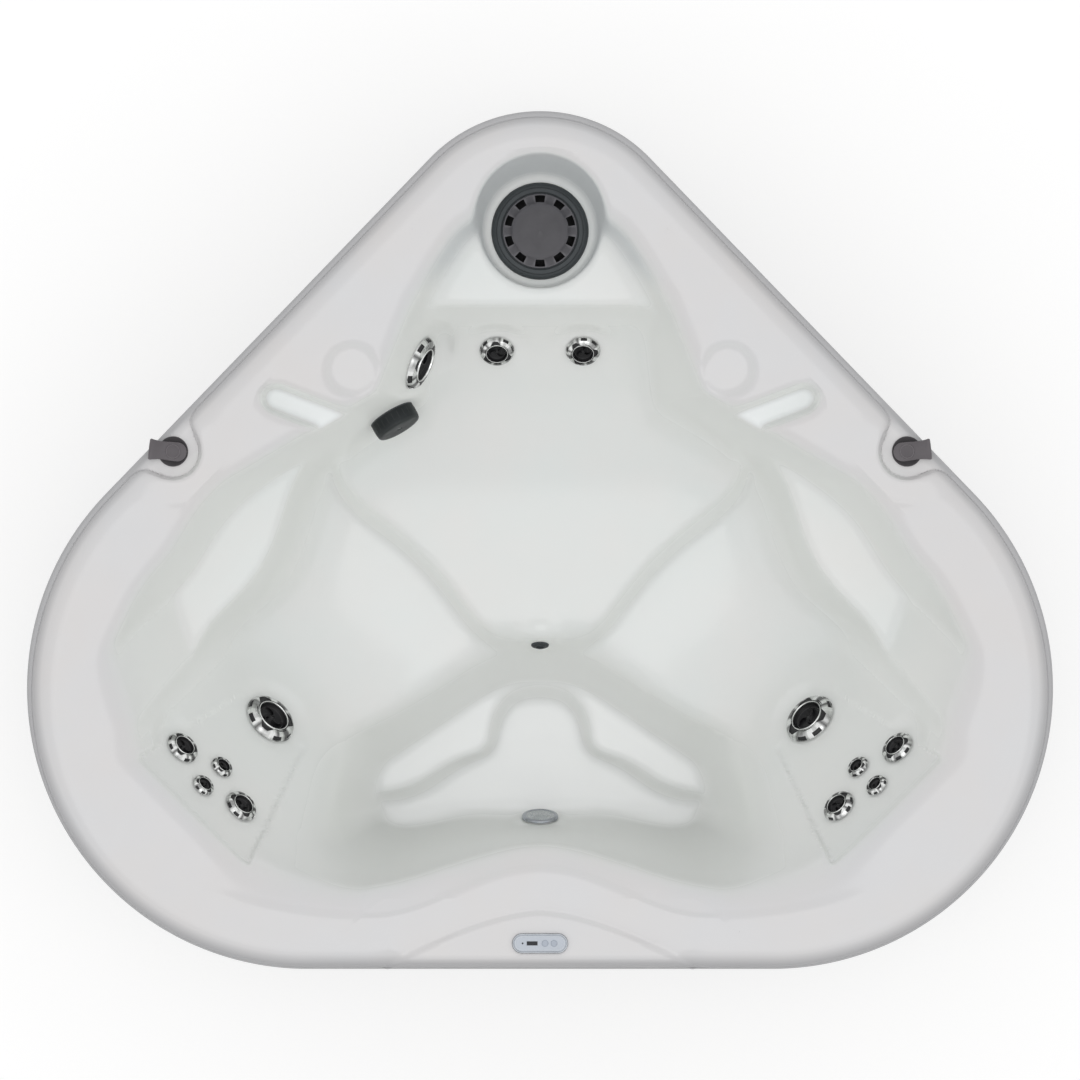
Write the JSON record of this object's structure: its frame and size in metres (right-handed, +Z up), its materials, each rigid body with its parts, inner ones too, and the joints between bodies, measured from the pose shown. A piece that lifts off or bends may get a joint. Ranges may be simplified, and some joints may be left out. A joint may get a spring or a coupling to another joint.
{
  "type": "corner hot tub",
  "caption": "Three-sided corner hot tub: moulded white shell with stepped seats, footwell and filter well, bright adjustable jets, air levers, control panel and boarded cabinet.",
  "frame": {"origin": "on the floor under the middle of the plan", "axes": "+Z up, +Y to the corner with the filter, -Y to the front with the control panel, +X to the right"},
  "size_m": [1.8296, 1.5298, 0.746],
  "materials": {
    "shell": "gloss",
    "cabinet": "satin",
    "base": "satin",
    "timber": "sawn",
    "foam": "matt",
    "canister": "gloss",
    "slate": "satin",
    "basket": "satin",
    "pleats": "pleated",
    "valve": "satin",
    "lever": "satin",
    "bezel": "satin",
    "display": "gloss",
    "button": "satin",
    "lens": "frosted",
    "pipe": "gloss",
    "jet_steel": "brushed",
    "jet_black": "gloss",
    "motor": "semi-gloss",
    "wet": "satin",
    "heater": "brushed"
  },
  "bodies": {
    "tub": {"tub_shell": "shell", "base_pan": "base", "side_panel_left": "cabinet", "side_panel_right": "cabinet", "corner_panel_left": "cabinet", "apex_panel": "cabinet", "corner_panel_right": "cabinet", "frame_rail": "timber", "frame_posts": "timber", "floor_support": "foam", "filter_canister": "canister", "filter_trim_ring": "slate", "air_valves": "valve", "control_housing": "bezel", "control_display": "display", "suction_fitting": "slate", "suction_cover": "slate", "light_housing": "pipe", "light_lens": "lens", "return_fitting": "slate", "drain_valve": "pipe", "jet_bodies_large": "pipe", "jet_nuts_large": "pipe", "jet_bodies_medium": "pipe", "jet_nuts_medium": "pipe", "jet_nozzles_medium": "jet_black", "jet_bodies_small": "pipe", "jet_nuts_small": "pipe", "jet_nozzles_small": "jet_black", "pump_motor": "motor", "pump_wet_end": "wet", "heater": "heater", "control_box": "motor", "water_pipes": "pipe"},
    "jet_face_large_lower_left": {"jet_face_large_lower_left": "jet_steel"},
    "jet_rotor_large_lower_left": {"jet_rotor_large_lower_left": "jet_black"},
    "jet_face_large_lower_right": {"jet_face_large_lower_right": "jet_steel"},
    "jet_rotor_large_lower_right": {"jet_rotor_large_lower_right": "jet_black"},
    "jet_face_medium_outer_left": {"jet_face_medium_outer_left": "jet_steel"},
    "jet_face_medium_outer_right": {"jet_face_medium_outer_right": "jet_steel"},
    "jet_face_medium_inner_left": {"jet_face_medium_inner_left": "jet_steel"},
    "jet_face_medium_inner_right": {"jet_face_medium_inner_right": "jet_steel"},
    "jet_face_small_upper_left": {"jet_face_small_upper_left": "jet_steel"},
    "jet_face_small_upper_right": {"jet_face_small_upper_right": "jet_steel"},
    "jet_face_small_lower_left": {"jet_face_small_lower_left": "jet_steel"},
    "jet_face_small_lower_right": {"jet_face_small_lower_right": "jet_steel"},
    "jet_face_medium_top_left": {"jet_face_medium_top_left": "jet_steel"},
    "jet_face_medium_top_right": {"jet_face_medium_top_right": "jet_steel"},
    "jet_face_large_top_left": {"jet_face_large_top_left": "jet_steel"},
    "jet_rotor_large_top_left": {"jet_rotor_large_top_left": "jet_black"},
    "air_lever_left": {"air_lever_left": "lever"},
    "air_lever_right": {"air_lever_right": "lever"},
    "filter_element": {"filter_basket": "basket", "filter_cartridge": "pleats"},
    "control_button_left": {"control_button_left": "button"},
    "control_button_right": {"control_button_right": "button"},
    "access_panel": {"access_panel": "cabinet", "access_knobs": "slate"},
    "drain_cap": {"drain_cap": "slate"}
  },
  "joints": [
    {"name": "large_lower_left_jet_turn", "type": "hinge", "parent": "tub", "child": "jet_face_large_lower_left", "pos_m": [-0.485, -0.32228, 0.45844], "axis": [0.5495, 0.5495, 0.6293], "range_deg": [0, 100]},
    {"name": "large_lower_left_rotor_spin", "type": "hinge", "parent": "jet_face_large_lower_left", "child": "jet_rotor_large_lower_left", "pos_m": [-0.485, -0.32228, 0.45844], "axis": [0.5495, 0.5495, 0.6293], "continuous": true},
    {"name": "large_lower_right_jet_turn", "type": "hinge", "parent": "tub", "child": "jet_face_large_lower_right", "pos_m": [0.485, -0.32228, 0.45844], "axis": [-0.5495, 0.5495, 0.6293], "range_deg": [0, 100]},
    {"name": "large_lower_right_rotor_spin", "type": "hinge", "parent": "jet_face_large_lower_right", "child": "jet_rotor_large_lower_right", "pos_m": [0.485, -0.32228, 0.45844], "axis": [-0.5495, 0.5495, 0.6293], "continuous": true},
    {"name": "medium_outer_left_jet_turn", "type": "hinge", "parent": "tub", "child": "jet_face_medium_outer_left", "pos_m": [-0.63986, -0.37248, 0.6375], "axis": [0.5495, 0.5495, 0.6293], "range_deg": [0, 100]},
    {"name": "medium_outer_right_jet_turn", "type": "hinge", "parent": "tub", "child": "jet_face_medium_outer_right", "pos_m": [0.63986, -0.37248, 0.6375], "axis": [-0.5495, 0.5495, 0.6293], "range_deg": [0, 100]},
    {"name": "medium_inner_left_jet_turn", "type": "hinge", "parent": "tub", "child": "jet_face_medium_inner_left", "pos_m": [-0.53521, -0.47713, 0.6375], "axis": [0.5495, 0.5495, 0.6293], "range_deg": [0, 100]},
    {"name": "medium_inner_right_jet_turn", "type": "hinge", "parent": "tub", "child": "jet_face_medium_inner_right", "pos_m": [0.53521, -0.47713, 0.6375], "axis": [-0.5495, 0.5495, 0.6293], "range_deg": [0, 100]},
    {"name": "small_upper_left_jet_turn", "type": "hinge", "parent": "tub", "child": "jet_face_small_upper_left", "pos_m": [-0.60238, -0.43966, 0.66344], "axis": [0.5495, 0.5495, 0.6293], "range_deg": [0, 100]},
    {"name": "small_upper_right_jet_turn", "type": "hinge", "parent": "tub", "child": "jet_face_small_upper_right", "pos_m": [0.60238, -0.43966, 0.66344], "axis": [-0.5495, 0.5495, 0.6293], "range_deg": [0, 100]},
    {"name": "small_lower_left_jet_turn", "type": "hinge", "parent": "tub", "child": "jet_face_small_lower_left", "pos_m": [-0.56986, -0.40713, 0.60663], "axis": [0.5495, 0.5495, 0.6293], "range_deg": [0, 100]},
    {"name": "small_lower_right_jet_turn", "type": "hinge", "parent": "tub", "child": "jet_face_small_lower_right", "pos_m": [0.56986, -0.40713, 0.60663], "axis": [-0.5495, 0.5495, 0.6293], "range_deg": [0, 100]},
    {"name": "medium_top_left_jet_turn", "type": "hinge", "parent": "tub", "child": "jet_face_medium_top_left", "pos_m": [-0.077, 0.33974, 0.52875], "axis": [0, -0.6157, 0.788], "range_deg": [0, 100]},
    {"name": "medium_top_right_jet_turn", "type": "hinge", "parent": "tub", "child": "jet_face_medium_top_right", "pos_m": [0.077, 0.33974, 0.52875], "axis": [0, -0.6157, 0.788], "range_deg": [0, 100]},
    {"name": "large_top_left_jet_turn", "type": "hinge", "parent": "tub", "child": "jet_face_large_top_left", "pos_m": [-0.21756, 0.31698, 0.58], "axis": [0.8838, -0.3512, 0.309], "range_deg": [0, 100]},
    {"name": "large_top_left_rotor_spin", "type": "hinge", "parent": "jet_face_large_top_left", "child": "jet_rotor_large_top_left", "pos_m": [-0.21756, 0.31698, 0.58], "axis": [0.8838, -0.3512, 0.309], "continuous": true},
    {"name": "air_lever_left_turn", "type": "hinge", "parent": "tub", "child": "air_lever_left", "pos_m": [-0.6545, 0.15783, 0.723], "axis": [0, 0, 1], "range_deg": [0, 110]},
    {"name": "air_lever_right_turn", "type": "hinge", "parent": "tub", "child": "air_lever_right", "pos_m": [0.6545, 0.15783, 0.723], "axis": [0, 0, -1], "range_deg": [0, 110]},
    {"name": "filter_lift", "type": "slide", "parent": "tub", "child": "filter_element", "axis": [0, 0, 1], "range_m": [0, 0.34]},
    {"name": "control_button_left_press", "type": "slide", "parent": "tub", "child": "control_button_left", "axis": [0, 0, -1], "range_m": [0, 0.001], "stiffness_N_per_m": 400, "springref_m": -0.0005},
    {"name": "control_button_right_press", "type": "slide", "parent": "tub", "child": "control_button_right", "axis": [0, 0, -1], "range_m": [0, 0.001], "stiffness_N_per_m": 400, "springref_m": -0.0005},
    {"name": "access_panel_pull", "type": "slide", "parent": "tub", "child": "access_panel", "axis": [0, -1, 0], "range_m": [0, 0.25]},
    {"name": "drain_cap_turn", "type": "hinge", "parent": "tub", "child": "drain_cap", "pos_m": [0.3, -0.76, 0.038], "axis": [0, -1, 0], "continuous": true}
  ]
}
